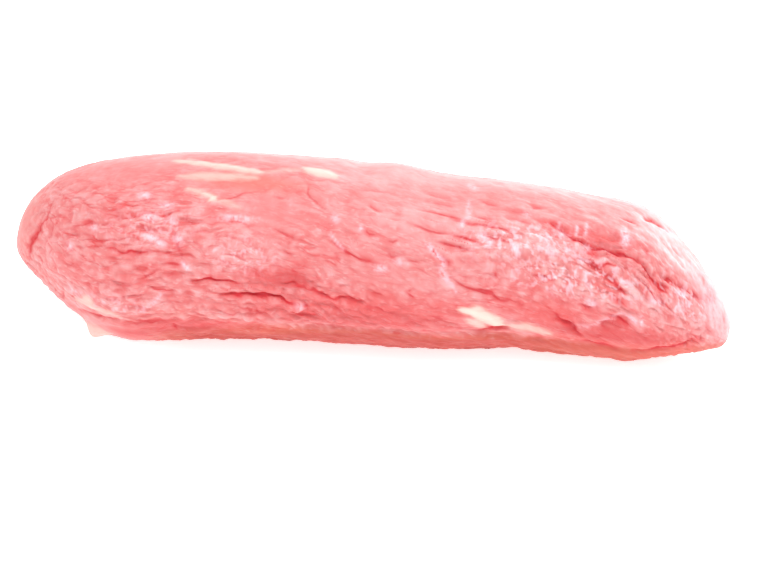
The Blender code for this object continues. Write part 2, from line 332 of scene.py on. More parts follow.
# Short creases between the fine bundles, in rows of the same kind
FINE_CREASES = (
    (0.5, 1.1, (40, 52), (43, 50), (46, 48)),
    (0.4, 1.0, (76, 30), (79, 30), (82, 28), (85, 30)),
    (0.5, 1.0, (76, 30), (78, 34), (77, 38)),
    (0.4, 1.0, (82, 40), (82, 45), (80, 48)),
    (0.4, 1.0, (83, 34), (86, 35), (88, 36)),
    (0.5, 1.2, (57, 52), (60, 52), (61, 50)),
    (0.4, 1.2, (40, 72), (45, 68), (50, 66)),
    (0.5, 1.1, (62, 76), (65, 76), (68, 74)),
    (0.5, 1.0, (70, 84), (71, 80)),
    (0.4, 1.1, (64, 86), (67, 84), (70, 86)),
    (0.7, 1.0, (44, 113), (49, 110), (55, 106), (61, 104)),
    (0.6, 1.2, (25, 52), (21, 64), (19, 77), (18, 93)),
    (0.4, 1.1, (27, 66), (33, 55), (33, 46), (34, 35)),
    (0.5, 1.0, (34, 73), (36, 79)),
    (0.5, 1.1, (38, 95), (36, 109), (36, 118)),
    (0.4, 1.0, (47, 40), (50, 38), (53, 38)),
    (0.7, 1.5, (79, 60), (83, 61), (86, 62)),
    (0.4, 1.0, (70, 65), (73, 68), (75, 64)),
    (0.4, 1.2, (78, 66), (81, 68), (85, 68)),
    (0.4, 1.0, (114, 14), (117, 16), (119, 17)),
    (0.5, 1.0, (121, 50), (123, 52), (125, 51)),
    (0.4, 1.0, (99, 34), (104, 34), (110, 36)),
    (0.6, 1.2, (122, 75), (124, 71), (128, 73), (129, 68)),
    (0.7, 1.1, (131, 71), (134, 76), (137, 79)),
    (0.7, 1.0, (139, 79), (145, 78), (149, 80)),
    (0.5, 1.2, (124, 62), (126, 64)),
    (0.8, 1.0, (129, 84), (130, 90)),
    (0.6, 1.1, (130, 94), (133, 95)),
    (0.5, 1.0, (106, 92), (109, 92), (110, 97)),
    (0.5, 1.0, (112, 88), (112, 95), (115, 94)),
    (0.5, 1.1, (99, 94), (103, 95), (106, 95)),
    (0.5, 1.1, (139, 84), (142, 90)),
    (0.6, 1.0, (148, 33), (150, 36), (153, 36)),
    (0.5, 1.0, (148, 16), (153, 20)),
    (0.5, 1.0, (156, 38), (159, 39), (161, 36)),
    (0.5, 1.0, (157, 46), (159, 49), (163, 46)),
    (0.5, 1.0, (164, 49), (166, 50), (169, 50)),
    (0.7, 1.0, (165, 71), (167, 74), (168, 75)),
    (0.5, 1.0, (165, 69), (167, 68)),
    (0.4, 1.1, (151, 84), (153, 89)),
    (0.3, 1.2, (136, 3), (144, 3), (154, 2), (160, 6)),
    (0.5, 1.1, (187, 1), (190, 4), (194, 6)),
    (0.3, 1.2, (182, 48), (190, 51)),
    (0.4, 1.2, (181, 54), (185, 58), (187, 58)),
    (0.6, 1.0, (195, 55), (196, 59)),
    (0.4, 1.5, (196, 8), (201, 10), (207, 10)),
    (0.4, 1.0, (206, 48), (207, 54), (209, 54)),
    (0.5, 1.0, (205, 0), (207, 4), (211, 2)),
    (0.5, 1.3, (209, 16), (213, 17), (217, 18)),
    (0.6, 1.1, (210, 57), (212, 58), (214, 58)),
    (0.5, 1.0, (214, 66), (216, 70)),
    (0.5, 1.0, (219, 64), (221, 66)),
    (0.8, 1.2, (226, 106), (231, 108), (236, 109), (240, 112)),
    (0.5, 1.1, (237, 80), (234, 88), (236, 92)),
    (0.5, 1.2, (267, 87), (273, 92), (277, 100)),
    (0.6, 1.0, (268, 36), (272, 38)),
    (0.7, 1.2, (226, 72), (228, 75), (232, 74)),
    (0.5, 1.0, (237, 65), (240, 67), (243, 70)),
    (0.4, 1.0, (226, 66), (228, 68)),
    (0.5, 1.0, (256, 58), (258, 61), (261, 64)),
    (0.5, 1.0, (247, 23), (249, 28)),
    (0.4, 1.0, (256, -1), (259, 2), (262, 3)),
    (0.6, 1.1, (226, 28), (228, 34), (231, 36)),
    (0.5, 1.2, (190, 106), (195, 102)),
    (0.8, 1.1, (179, 30), (182, 32), (186, 34), (189, 37)),
    (0.5, 1.0, (177, 46), (180, 50)),
    (0.5, 1.1, (178, 20), (186, 23)),
    (0.4, 1.2, (168, 6), (180, 9)),
    (0.5, 1.0, (186, 16), (190, 18), (193, 22)),
    (1.0, 1.0, (219, 89), (224, 94), (227, 100)),
    (0.8, 1.2, (251, 46), (254, 48), (257, 47)),
    (0.45, 1.0, (234, 48), (237, 52), (239, 57), (242, 60)),
    (0.45, 1.0, (243, 38), (249, 46), (252, 49)),
    (0.5, 0.9, (226, 42), (231, 43), (236, 42)),
    (0.5, 1.0, (226, 30), (227, 35), (230, 36)),
    (0.5, 1.0, (239, -2), (242, 1)),
    (0.5, 1.0, (246, -11), (249, -9)),
    (0.4, 1.2, (197, 16), (203, 18), (209, 21)),
    (0.4, 1.0, (171, 69), (175, 71)),
    (0.5, 1.0, (152, 73), (157, 75)),
    (0.5, 1.0, (173, 88), (179, 91)),
    (0.35, 1.3, (165, -4), (172, 0), (178, 4)),
)
# How far the creases waver, and how deep and wide they stay open in the soft meat
WAVER = 1.5
WAVER_NOISE = (4.0, 3.0, 35.0)
WAVER_LOST = 1.4
LEAST_RADIUS = 10.0
OPEN_SHARE = 0.74
OPEN_WIDTH = 0.62
FAR = 1000.0
LONG_GRAIN = ((175, 15, 52, 45, 0.6), (115, 30, 25, 20, 0.3), (150, -100, 150, 48, 0.75))


def line_distance(length, turn, places):
    """Distance over the skin from a line through places, below zero on its upper side, and how
    far along that line, 0 to 1."""
    radius = np.maximum(radius_at(length), 1.0)
    near = np.full(len(length), FAR)
    where = np.zeros(len(length))
    count = len(places) - 1
    for index, ((length_a, turn_a), (length_b, turn_b)) in enumerate(zip(places, places[1:])):
        dx, dy = length_b - length_a, np.radians(turn_b - turn_a) * radius
        px, py = length - length_a, np.radians(turn - turn_a) * radius
        along = np.clip((px * dx + py * dy) / (dx * dx + dy * dy), 0, 1)
        gap = np.hypot(px - along * dx, py - along * dy) * np.where(dx * py > dy * px, 1, -1)
        closer = np.abs(gap) < np.abs(near)
        near = np.where(closer, gap, near)
        where = np.where(closer, (index + along) / count, where)
    return near, where


def rise_along(where, skipped):
    """Rise and fall along a line, with a share of the curve skipped at each end."""
    return np.sin(np.pi * (skipped + (1 - 2 * skipped) * where))


def line_relief(length, turn, half_width, places):
    """1 on a line through places, falling to 0 beside it and towards its ends."""
    gap, where = line_distance(length, turn, places)
    return np.exp(-((gap / half_width) ** 2)) * np.sqrt(rise_along(where, 0.1))


def summed_lines(length, turn, rows, open_share=1.0, open_width=1.0):
    """Sum of the reliefs of many lines, each times its own height."""
    total = np.zeros(len(length))
    for height, half_width, *places in rows:
        total += open_share * height * line_relief(length, turn, half_width * open_width, places)
    return total


def back_creases():
    """Creases of the back, in rows as in the table of creases."""
    pick = random.Random(SEED)
    rows = []
    for _ in range(BACK_CREASES):
        start, turn = pick.uniform(*BACK_LENGTHS), pick.uniform(*BACK_TURNS)
        end = (start + pick.uniform(*BACK_RUNS), turn + pick.uniform(*BACK_SWERVE))
        depth, half_width = pick.uniform(*BACK_DEPTHS), pick.uniform(*BACK_HALF_WIDTHS)
        rows.append((depth, half_width, (start, turn), end))
    return rows


long_grain = patch_share(LONG_GRAIN)
waver = WAVER * grain_noise(grain, *WAVER_NOISE) / np.maximum(radius, LEAST_RADIUS)
waver *= 1 - WAVER_LOST * long_grain
bent_turn = turn + np.degrees(waver)
long_creases = [*CREASES, *back_creases()]
creases = summed_lines(length, bent_turn, long_creases, OPEN_SHARE, OPEN_WIDTH)
creases += summed_lines(length, bent_turn, FINE_CREASES)
height -= creases

# Strips of fat and silver skin that the trimming knife left lie on the lean as low ridges: height,
# half width, then the places. At the lower front the meat tucks in where it turns under.
FAT_STRIPS = (
    (0.5, 1.6, (75, -14), (84, -12), (95, -7), (109, -3)),
    (0.3, 1.6, (81, 0), (94, 1), (106, 0)),
    (0.6, 2.4, (122, -11), (128, -9), (134, -6)),
    (0.5, 1.4, (83, 14), (88, 16), (93, 20), (100, 23)),
    (0.9, 2.8, (184, 82), (190, 87), (197, 95)),
    (0.5, 1.4, (197, 96), (204, 98), (214, 105)),
    (0.4, 1.4, (171, 39), (176, 49), (179, 64)),
    (0.4, 1.5, (44, 101), (52, 99), (61, 101)),
)
TUCK_DEPTH = 0.8
TUCK_HALF_WIDTH = 2.2
TUCK = ((84, 112), (112, 110), (135, 105), (191, 105), (214, 110), (248, 113))
height += summed_lines(length, turn, FAT_STRIPS)
height -= TUCK_DEPTH * line_relief(length, turn, TUCK_HALF_WIDTH, TUCK)

# The surface of the lean is many fine bundles, folded and kinked, with a valley between each two.
# They fade out where the thin skin still holds the meat smooth, and turn into small knobs where
# the knife opened it. The patches are length, turn, half length, half turn and share.
ROUGHNESS_LOST = 0.85
KINK = 1.4
STREAKED = (
    (72, 56, 42, 44, 1.0),
    (120, 40, 26, 30, 0.5),
    (185, 20, 40, 34, 0.4),
    (235, 60, 34, 26, 0.5),
    (150, 92, 70, 12, 0.6),
)
KNOBBLY = (
    (238, 46, 42, 34, 1.0),
    (272, 40, 24, 70, 0.8),
    (130, 84, 40, 20, 0.8),
    (75, 82, 30, 22, 0.5),
    (98, 96, 34, 9, 0.7),
    (130, 95, 22, 10, 0.9),
    (200, 40, 18, 18, 0.6),
)

# Steps of each kind of unevenness along and across the grain, and a seed
KINK_NOISE = (6.0, 4.0, 33.0)
VALLEY_NOISE = (9.0, 3.2, 34.0)
FOLD_NOISE = (6.0, 3.2, 47.0)
LONG_FOLD_NOISE = (11.0, 3.4, 45.0)
STREAK_NOISE = (7.0, 2.1, 51.0)
KNOB_NOISE = (3.4, 2.9, 48.0)
ROLL_NOISE = (6.5, 5.0, 49.0)

# How far the fine bundles swerve, in bundle widths, each with its steps and seed
SWERVES = ((1.6, 26.0, 9.0, 31.0), (0.5, 10.0, 4.0, 32.0))

# Fine bundles around the girth, and where their valleys show: by noise, by the radius of the
# muscle and by the turn from the middle of the front
BUNDLE_COUNT = 88
VALLEY_DEPTH = 0.4
VALLEY_SHARPNESS = 1.3
VALLEY_SHARE = 0.2
LONG_VALLEY_SHARE = 0.5
VALLEY_FROM = (-0.16, 0.295)
VALLEY_RADIUS = (22, 30)
VALLEY_TURNS = (180, 176)

# Folds, streaks between them, knobs and soft rolls
FOLD_HEIGHT = 0.72
FOLDS_LOST = 0.7
MEAN_FOLD = 0.25
STREAK_DEPTH = 0.5
STREAK_FROM = (0.14, 0.39)
BACK_STREAKS = 0.6
BACK_TURNS_OFF = (90, 120)
KNOB_HEIGHT = 2.4
KNOBS_KEPT = 0.25
LUMPS_LOST = 0.6
SOFT_LUMPS = 0.5


def ramp(value, start, end):
    """0 at the start, 1 at the end and straight between them."""
    return np.clip((value - start) / (end - start), 0, 1)


kink = KINK * grain_noise(grain, *KINK_NOISE)
fine = grain_place(np.radians(turn) + (kink - drift) / GIRTH_RADIUS, radius)
rough = 1 - ROUGHNESS_LOST * smooth
knobbly = patch_share(KNOBBLY)
off_front = np.abs(turn - CROWDED_TURN)

swerve = sum(reach * grain_noise(grain, *steps) for reach, *steps in SWERVES)
bundle = (turn - np.degrees(drift / GIRTH_RADIUS)) / 360 * BUNDLE_COUNT + swerve
shown = ramp(grain_noise(fine, *VALLEY_NOISE), *VALLEY_FROM) * rough * thick
shown *= ramp(radius, *VALLEY_RADIUS) * ramp(off_front, *VALLEY_TURNS)
shown *= VALLEY_SHARE + LONG_VALLEY_SHARE * long_grain
height -= VALLEY_DEPTH * shown * (1 - np.abs(np.sin(np.pi * bundle))) ** VALLEY_SHARPNESS

folds = (1 - long_grain) * np.abs(grain_noise(fine, *FOLD_NOISE))
folds += long_grain * np.abs(grain_noise(fine, *LONG_FOLD_NOISE))
streaked = np.maximum(patch_share(STREAKED), BACK_STREAKS * ramp(off_front, *BACK_TURNS_OFF))
streaks = ramp(grain_noise(fine, *STREAK_NOISE), *STREAK_FROM) * streaked * rough
knobs = np.abs(grain_noise(fine, *KNOB_NOISE))
rolls = grain_noise(fine, *ROLL_NOISE)
lumps = FOLD_HEIGHT * (1 - FOLDS_LOST * knobbly) * (folds - MEAN_FOLD) - STREAK_DEPTH * streaks
lumps += KNOB_HEIGHT * (KNOBS_KEPT + (1 - KNOBS_KEPT) * knobbly) * (knobs - MEAN_FOLD)
lumps *= 1 - LUMPS_LOST * long_grain
height += thick * rough * (lumps + SOFT_LUMPS * (1 + knobbly) * rolls)

# The relief is raised on the smooth muscle. Its underside is pressed flat by its own weight on the
# surface that it lies on.
points = body + normal * height[:, None]
points[:, 2] = np.maximum(points[:, 2], 0.0)
middle = (points.min(axis=0) + points.max(axis=0)) / 2 * (1, 1, 0)
points = np.clip((points - middle) * MM, *np.array(cad_box))
veal_mesh.vertices.foreach_set("co", points.ravel())
veal_mesh.update()
veal_mesh.shade_smooth()

# The lean is pale pink, paler where its skin is dry, and redder where it was opened. A painted
# sheen makes it whiter along the top edge and over the thin end, painted glints fleck the wet
# patches, and painted shade makes it redder and darker in hollows and low down. Along its lower
# edge a painted brown shade stands where the meat turns under. The patches are length, turn, half
# length, half turn and share.
PALE_AND_SHEEN_PATCHES = (
    (215, -34, 60, 20, 0.75),
    (140, -40, 50, 18, 0.6),
    (150, -12, 30, 20, 0.3),
    (70, -44, 50, 14, 0.6),
    (258, 2, 20, 26, 0.6),
    (286, 30, 14, 90, 0.9),
    (106, 52, 8, 10, 0.3),
    (204, 34, 18, 14, 0.35),
    (172, 25, 30, 18, 0.35),
    (52, 95, 16, 12, 0.4),
    (182, 66, 14, 12, 0.35),
    (240, 60, 20, 13, 0.6),
    (10, 30, 13, 60, 0.3),
    (107, 98, 3, 5, 0.6),
    (99, 98, 3, 4, 0.5),
    (94, 95, 4, 4, 0.5),
    (126, 88, 2, 4, 0.9),
    (132, 78, 4, 7, 0.4),
)
# Wet patches: a shiny wet coat, and painted glints laid over them as well.
WET_GLINT_PATCHES = (
    (206, 34, 22, 14, 0.8),
    (226, 54, 26, 14, 0.9),
    (258, 2, 22, 30, 0.3),
    (284, 20, 16, 60, 0.25),
    (104, 33, 9, 3, 0.4),
    (266, 50, 14, 20, 0.8),
    (106, 54, 12, 12, 0.5),
    (72, 40, 18, 12, 0.4),
    (60, 92, 14, 8, 0.4),
)
# Redder meat where it was opened, and painted shade in hollows, beside the big crease, under the
# fat wedge and low down.
RED_AND_SHADE_PATCHES = (
    (120, 67, 14, 9, 1.0),
    (197, 100, 5, 5, 1.0),
    (150, 89, 45, 17, 0.95),
    (178, 82, 14, 11, 0.8),
    (206, 81, 13, 11, 0.75),
    (70, 0, 55, 25, 0.25),
    (110, 35, 30, 18, 0.28),
    (150, 48, 32, 18, 0.2),
    (192, 68, 18, 12, 0.3),
    (200, -4, 40, 10, 0.15),
    (216, 84, 16, 14, 0.95),
    (242, 96, 26, 11, 1.0),
    (84, 110, 24, 9, 1.0),
    (66, 118, 10, 7, 0.9),
    (228, 20, 19, 8, 1.0),
    (260, 38, 6, 5, 0.9),
    (239, 87, 7, 6, 1.0),
    (241, 81, 4, 4, 0.8),
    (45, 74, 10, 12, 0.4),
)
WARM_AND_SHADE_PATCHES = (
    (104, 5, 20, 9, 0.7),
    (12, 30, 12, 60, 0.45),
    (85, 100, 40, 10, 0.3),
    (250, 106, 36, 10, 0.8),
)
# Painted shade: darker red in hollows, under the fat wedge, in the big crease and low down.
PAINTED_SHADE_PATCHES = (
    (124, 69, 9, 6, 0.55),
    (197, 101, 5, 4, 1.0),
    (112, 66, 8, 5, 0.2),
    (82, 110, 20, 7, 0.35),
    (66, 118, 9, 4, 0.6),
    (242, 98, 24, 10, 0.35),
    (238, 86, 5, 4, 0.6),
    (232, 27, 12, 4, 0.5),
    (223, 95, 5, 4, 0.6),
    (240, 110, 40, 8, 0.25),
    (150, 96, 45, 9, 0.2),
)

# Turns and lengths between which the painted warm shade and the painted brown shade of the lower
# edge come and go
UNDERSIDE_TURNS = (195, 150)
WARM_TURNS = (104, 112)
WARM_LENGTHS = (60, 90)
BROWN_LENGTHS = (66, 86)
BROWN_KEPT = 0.6
FAINT_LENGTHS = (245, 195)
BROWN_TURN = 112.0
BROWN_BLEND = 7.0
BROWN_RISE = 9.0
RISE_LENGTHS = (115, 150)
BROWN_FALL = 4.0
FALL_LENGTHS = (155, 175)

# Share of the walls between bundles that is lost on knobs and in the long grain, and the hollows
WALLS_LOST = 0.9
KNOBBLY_FROM = 0.8
LONG_WALLS_LOST = 1.3
HOLLOWS = (-0.1, -0.6)


def add_mask(name, values):
    """Keep one number for each corner of the mesh under a name."""
    veal_mesh.attributes.new(name, "FLOAT", "POINT").data.foreach_set("value", values)


add_mask("pale", patch_share(PALE_AND_SHEEN_PATCHES))
add_mask("wet", patch_share(WET_GLINT_PATCHES))
add_mask("red", patch_share(RED_AND_SHADE_PATCHES))
add_mask("dark", patch_share(PAINTED_SHADE_PATCHES))
# The warm tint of the low front and the brown of the lower edge are painted shade where the meat
# turns under and faces down.
lower_edge = ramp(turn, *UNDERSIDE_TURNS)
low_front = ramp(turn, *WARM_TURNS) * ramp(length, *WARM_LENGTHS) * lower_edge
add_mask("warm", np.maximum(patch_share(WARM_AND_SHADE_PATCHES), low_front))
edge_shade_along = ramp(length, *BROWN_LENGTHS) * lower_edge
edge_shade_along *= BROWN_KEPT + (1 - BROWN_KEPT) * ramp(length, *FAINT_LENGTHS)
brown_turn = BROWN_TURN - BROWN_RISE * ramp(length, *RISE_LENGTHS)
brown_turn += BROWN_FALL * ramp(length, *FALL_LENGTHS)
add_mask("brown", ramp(turn - brown_turn, 0, BROWN_BLEND) * edge_shade_along)
add_mask("bundle", bundle)
add_mask("shown", shown)
add_mask("fine_height", lumps * rough)
add_mask("rough", rough)
add_mask("knobbly", knobbly)
walled = rough * (1 - WALLS_LOST * np.minimum(knobbly / KNOBBLY_FROM, 1))
add_mask("walled", walled * (1 - LONG_WALLS_LOST * long_grain))
add_mask("streaks", streaks)
# Hollows between the soft rolls on the knobs, painted redder as shade
add_mask("low", ramp(rolls, *HOLLOWS) * knobbly)
grain_values = veal_mesh.attributes.new("grain", "FLOAT_VECTOR", "POINT")
grain_values.data.foreach_set("vector", fine.ravel())

# The creases are painted darker as shade, most in the middle of each. Those of the back are
# painted fainter, as they are shallow and half closed.
BACK_FAINTNESS = 0.45
BACK_EDGE = (-60, -40)
crease_side = np.full(len(length), FAR)
crease_depth = np.zeros(len(length))
for depth, _, *places in [*long_creases, *FINE_CREASES]:
    gap, where = line_distance(length, bent_turn, places)
    closer = np.abs(gap) < np.abs(crease_side)
    crease_side = np.where(closer, gap, crease_side)
    crease_depth = np.where(closer, depth * rise_along(where, 0.05), crease_depth)
bare = BACK_FAINTNESS + (1 - BACK_FAINTNESS) * ramp(turn, *BACK_EDGE)
add_mask("crease_side", crease_side)
add_mask("crease_depth", crease_depth * bare)
add_mask("crease", creases * bare)

# Fat shows cream white on the ridges that the knife left, with ragged edges that thin out over the
# lean: how solid it looks, half width, then the places.
FAT_SEEN = (
    (0.64, 1.6, (74, -15), (84, -11), (95, -8), (107, -4)),
    (0.5, 1.6, (79, 2), (90, 2), (106, 1)),
    (0.3, 0.7, (108, -4), (115, -9), (123, -10)),
    (0.74, 2.1, (122, -11), (128, -9), (134, -6)),
    (0.8, 0.5, (83, 14), (88, 16), (93, 19)),
    (0.9, 1.3, (92.6, 19), (93.6, 21)),
    (0.4, 0.7, (94, 21), (98, 22), (103, 26)),
    (0.95, 2.0, (184, 82), (189, 84), (193, 89), (196, 93), (199, 96)),
    (0.6, 1.9, (187, 90), (190.6, 96), (192.3, 99)),
    (0.55, 1.4, (199, 98), (203, 99), (207, 98), (211, 100), (216, 103)),
    (0.55, 0.9, (44, 101), (52, 99), (61, 101)),
    (0.6, 1.8, (47, 97), (51, 95)),
    (0.6, 3.6, (47, 126), (54, 127)),
)
NO_FAT = -10.0
fat_edge = np.full(len(length), NO_FAT)
fat_share = np.zeros(len(length))
for share, half_width, *places in FAT_SEEN:
    gap, where = line_distance(length, turn, places)
    edge = half_width * np.sqrt(rise_along(where, 0.05)) - np.abs(gap)
    fat_share = np.where(edge > fat_edge, share, fat_share)
    fat_edge = np.maximum(fat_edge, edge)
add_mask("fat_share", fat_share)
add_mask("fat_edge", fat_edge)

# Threads of silver skin cross the lean, and small moist ridges get painted highlights: share, half
# width, then the places.
THREADS = (
    (1.0, 0.8, (171, 38), (174, 44), (177, 48)),
    (0.8, 1.1, (177, 48), (177, 55), (180, 63)),
    (0.6, 0.6, (181, 63), (182, 69)),
    (0.7, 0.5, (222, 10), (223, 23)),
    (0.8, 0.6, (226, 10), (226, 20)),
    (0.5, 0.6, (216, 14), (217, 22)),
    (0.5, 0.8, (183, 2), (184, 17), (182, 23)),
    (0.5, 0.6, (136, 37), (139, 42), (142, 47)),
    (0.6, 0.9, (219, 35), (225, 38)),
    (0.5, 0.8, (68, 98), (76, 86), (79, 80)),
    (0.4, 0.9, (225, 92), (230, 91), (236, 82), (241, 76), (245, 80)),
    (0.6, 0.5, (222, 38), (226, 40), (230, 42)),
)
GLINT_SPOTS = (
    (0.6, 1.2, (42, 58), (43, 56)),
    (0.6, 1.3, (67, 18), (70, 20)),
    (0.6, 1.3, (70, 32), (74, 34)),
    (0.5, 1.5, (76, 26), (79, 26)),
    (0.3, 7.0, (272, 15), (286, 50)),
    (0.7, 1.2, (72, 44), (76, 47)),
    (0.7, 1.2, (76, 48), (78, 49)),
    (0.5, 1.6, (83, 44), (84, 48)),
    (0.8, 0.8, (86, 60), (88, 64)),
    (0.5, 1.0, (80, 33), (81, 38)),
    (0.5, 1.4, (42, 92), (44, 94)),
    (0.5, 1.0, (51, 41), (53, 42)),
    (0.5, 1.0, (98, 32), (102, 32), (106, 33)),
    (0.6, 1.2, (127, 86), (128, 88)),
    (0.5, 1.4, (154, 56), (157, 56)),
    (0.5, 1.0, (147, 32), (147, 34)),
    (0.4, 1.4, (161, 51), (163, 51)),
    (0.7, 1.0, (192, 34), (193, 38)),
    (0.7, 1.0, (189, 30), (191, 33)),
    (0.6, 0.9, (201, 36), (202, 38), (203, 43)),
    (0.6, 0.8, (182, 20), (182, 25)),
    (0.4, 1.2, (182, -18), (185, -11)),
    (0.8, 1.3, (239, 11), (240, 18), (240, 24)),
    (0.5, 1.2, (212, 30), (213, 36), (215, 41)),
    (0.6, 1.0, (226, 28), (227, 32)),
    (0.5, 0.9, (223, 40), (226, 42)),
    (0.7, 1.3, (261, 44), (265, 42)),
    (0.6, 1.4, (251, 60), (254, 60)),
    (0.6, 1.4, (229, 70), (231, 72)),
    (0.7, 1.0, (244, 78), (246, 82)),
    (0.7, 0.8, (248, 76), (248, 83)),
    (0.5, 1.2, (256, -12), (259, -18)),
    (0.5, 1.0, (254, -12), (255, -14)),
    (0.4, 1.5, (262, 56), (265, 56)),
    (0.5, 1.2, (217, 23), (219, 26)),
    (0.4, 1.2, (204, 10), (205, 14)),
    (0.5, 1.2, (137, 26), (138, 30)),
)


def largest_line(rows):
    """Largest share that any line has at each place."""
    most = np.zeros(len(length))
    for share, half_width, *places in rows:
        most = np.maximum(most, share * line_relief(length, turn, half_width, places))
    return most


add_mask("thread", largest_line(THREADS))
add_mask("light", largest_line(GLINT_SPOTS))

# Raw veal is moist and lets a little light in under its skin, which turns it soft and pink. Its
# colours are laid over the lean one after another: fibres, bundles with painted highlight and
# shade, painted shade in the creases, painted glints, fat.
LEAN = (0.560, 0.178, 0.178)
PALE = (0.63, 0.372, 0.380)
RED = (0.555, 0.086, 0.087)
WARM = (0.55, 0.100, 0.066)
CREASE_SHADE = (0.47, 0.005, 0.014)
SHADE_RED = (0.42, 0.035, 0.040)
EDGE_SHADE_BROWN = (0.38, 0.044, 0.022)
GROOVE_SHADE = (0.54, 0.030, 0.036)
FAT = (0.70, 0.42, 0.37)
CREAM = (0.72, 0.56, 0.50)
GLINT = (0.76, 0.52, 0.59)
meat = bpy.data.materials.new("raw_veal")
meat.use_nodes = True
nodes, links = meat.node_tree.nodes, meat.node_tree.links
shader = nodes["Principled BSDF"]
shader.inputs["Subsurface Weight"].default_value = 0.35
shader.inputs["Subsurface Radius"].default_value = (1.0, 0.25, 0.2)
shader.inputs["Subsurface Scale"].default_value = 0.003
shader.inputs["Specular IOR Level"].default_value = 0.4
shader.inputs["Coat Roughness"].default_value = 0.22


def attribute(name, output="Fac"):
    """Numbers kept on the mesh under a name."""
    node = nodes.new("ShaderNodeAttribute")
    node.attribute_name = name
    return node.outputs[output]


def spread(value, low, high, start=0.0, end=1.0):
    """Value mapped from low to high onto start to end."""
    node = nodes.new("ShaderNodeMapRange")
    for name, number in (("From Min", low), ("From Max", high), ("To Min", start), ("To Max", end)):
        node.inputs[name].default_value = number
    links.new(value, node.inputs["Value"])
    return node.outputs["Result"]


def maths(operation, first, second=0.0, third=0.0):
    """One sum of values or numbers."""
    node = nodes.new("ShaderNodeMath")
    node.operation = operation
    for socket, value in zip(node.inputs, (first, second, third)):
        if isinstance(value, float):
            socket.default_value = value
        else:
            links.new(value, socket)
    return node.outputs["Value"]


def times(first, second):
    """Product of two values."""
    return maths("MULTIPLY", first, second)


def along_grain(step_along, step_across):
    """Places along the grain, with one unit to each step."""
    mapping = nodes.new("ShaderNodeMapping")
    mapping.inputs["Scale"].default_value = (1 / step_along, 1 / step_across, 1 / step_across)
    links.new(attribute("grain", "Vector"), mapping.inputs["Vector"])
    return mapping.outputs["Vector"]


def grain_texture(step_along, step_across, detail, output="Fac"):
    """Noise drawn out along the grain, with steps in mm."""
    texture = nodes.new("ShaderNodeTexNoise")
    texture.inputs["Scale"].default_value = 1.0
    texture.inputs["Detail"].default_value = detail
    links.new(along_grain(step_along, step_across), texture.inputs["Vector"])
    return texture.outputs[output]


def bundle_walls(step_along, step_across, half_width, bend):
    """Thin bent lines between small bundles that lie along the grain, 1 on each line."""
    bent = nodes.new("ShaderNodeVectorMath")
    bent.operation = "MULTIPLY_ADD"
    bent.inputs[1].default_value = (bend, bend, bend)
    links.new(grain_texture(step_along, step_across, 2, "Color"), bent.inputs[0])
    links.new(along_grain(step_along, step_across), bent.inputs[2])
    texture = nodes.new("ShaderNodeTexVoronoi")
    texture.feature = "DISTANCE_TO_EDGE"
    texture.inputs["Scale"].default_value = 1.0
    links.new(bent.outputs["Vector"], texture.inputs["Vector"])
    return spread(texture.outputs["Distance"], half_width, 0.0)


def pebble_tops(step_along, step_across):
    """Distance from the tops of small rounded lumps, in steps."""
    texture = nodes.new("ShaderNodeTexVoronoi")
    texture.inputs["Scale"].default_value = 1.0
    links.new(along_grain(step_along, step_across), texture.inputs["Vector"])
    return texture.outputs["Distance"]


def tinted(base, colour, share):
    """Base mixed with a colour by a share from 0 to 1."""
    node = nodes.new("ShaderNodeMix")
    node.data_type = "RGBA"
    node.inputs["B"].default_value = (*colour, 1.0)
    if isinstance(base, tuple):
        node.inputs["A"].default_value = (*base, 1.0)
    else:
        links.new(base, node.inputs["A"])
    links.new(share, node.inputs["Factor"])
    return node.outputs["Result"]


opened, coarse = attribute("knobbly"), attribute("rough")
wet_and_glint, fat_here = attribute("wet"), attribute("fat_share")
lump_height = attribute("fine_height")
blotch = grain_texture(4.5, 2.8, 2)

# Small lumps side by side where the meat was opened, and the fine bundles with valleys and thin
# walls between them elsewhere. The tops of lumps and bundles are painted paler as highlight, and
# the gaps, valleys, walls, streaks and hollows between them painted redder and darker as shade.
top_gap = pebble_tops(2.6, 2.2)
pebbles = maths("SUBTRACT", 1.0, times(top_gap, top_gap))
ridge = maths("ABSOLUTE", maths("SINE", times(attribute("bundle"), np.pi)))
valley = times(maths("POWER", maths("SUBTRACT", 1.0, ridge), 2.0), attribute("shown"))
walls = times(bundle_walls(11.0, 2.3, 0.15, 0.9), spread(grain_texture(8, 4, 1), 0.42, 0.6))
walls = times(walls, attribute("walled"))
away_from_pale = spread(attribute("pale"), 0.0, 1.0, 1.0, 0.4)
hollow = times(spread(lump_height, -0.05, -0.8, 0.0, 0.9), away_from_pale)
away_from_red = spread(attribute("red"), 0.2, 1.0, 1.0, 0.35)
fibres = times(spread(grain_texture(2.6, 1.1, 1), 0.56, 0.78, 0.0, 0.5), coarse)

# The painted shade line in the middle of each crease, the painted brown shade of the lower edge,
# and the ragged edge of fat
wobble = maths("SUBTRACT", grain_texture(3, 1.5, 2), 0.5)
middle_line = maths("ABSOLUTE", maths("ADD", attribute("crease_side"), wobble))
cut = times(spread(middle_line, 0.75, 0.2), attribute("crease_depth"))
painted_edge_shade = times(attribute("brown"), spread(grain_texture(8, 2.5, 2), 0.3, 0.6, 0.6, 1.0))
ragged = maths("MULTIPLY_ADD", grain_texture(4, 0.9, 3), 1.6, attribute("fat_edge"))
ragged = maths("MULTIPLY_ADD", grain_texture(6, 2.5, 1), 2.0, ragged)
shine = spread(grain_texture(1.6, 1.4, 2), 0.25, 0.55, 0.0, 1.3)

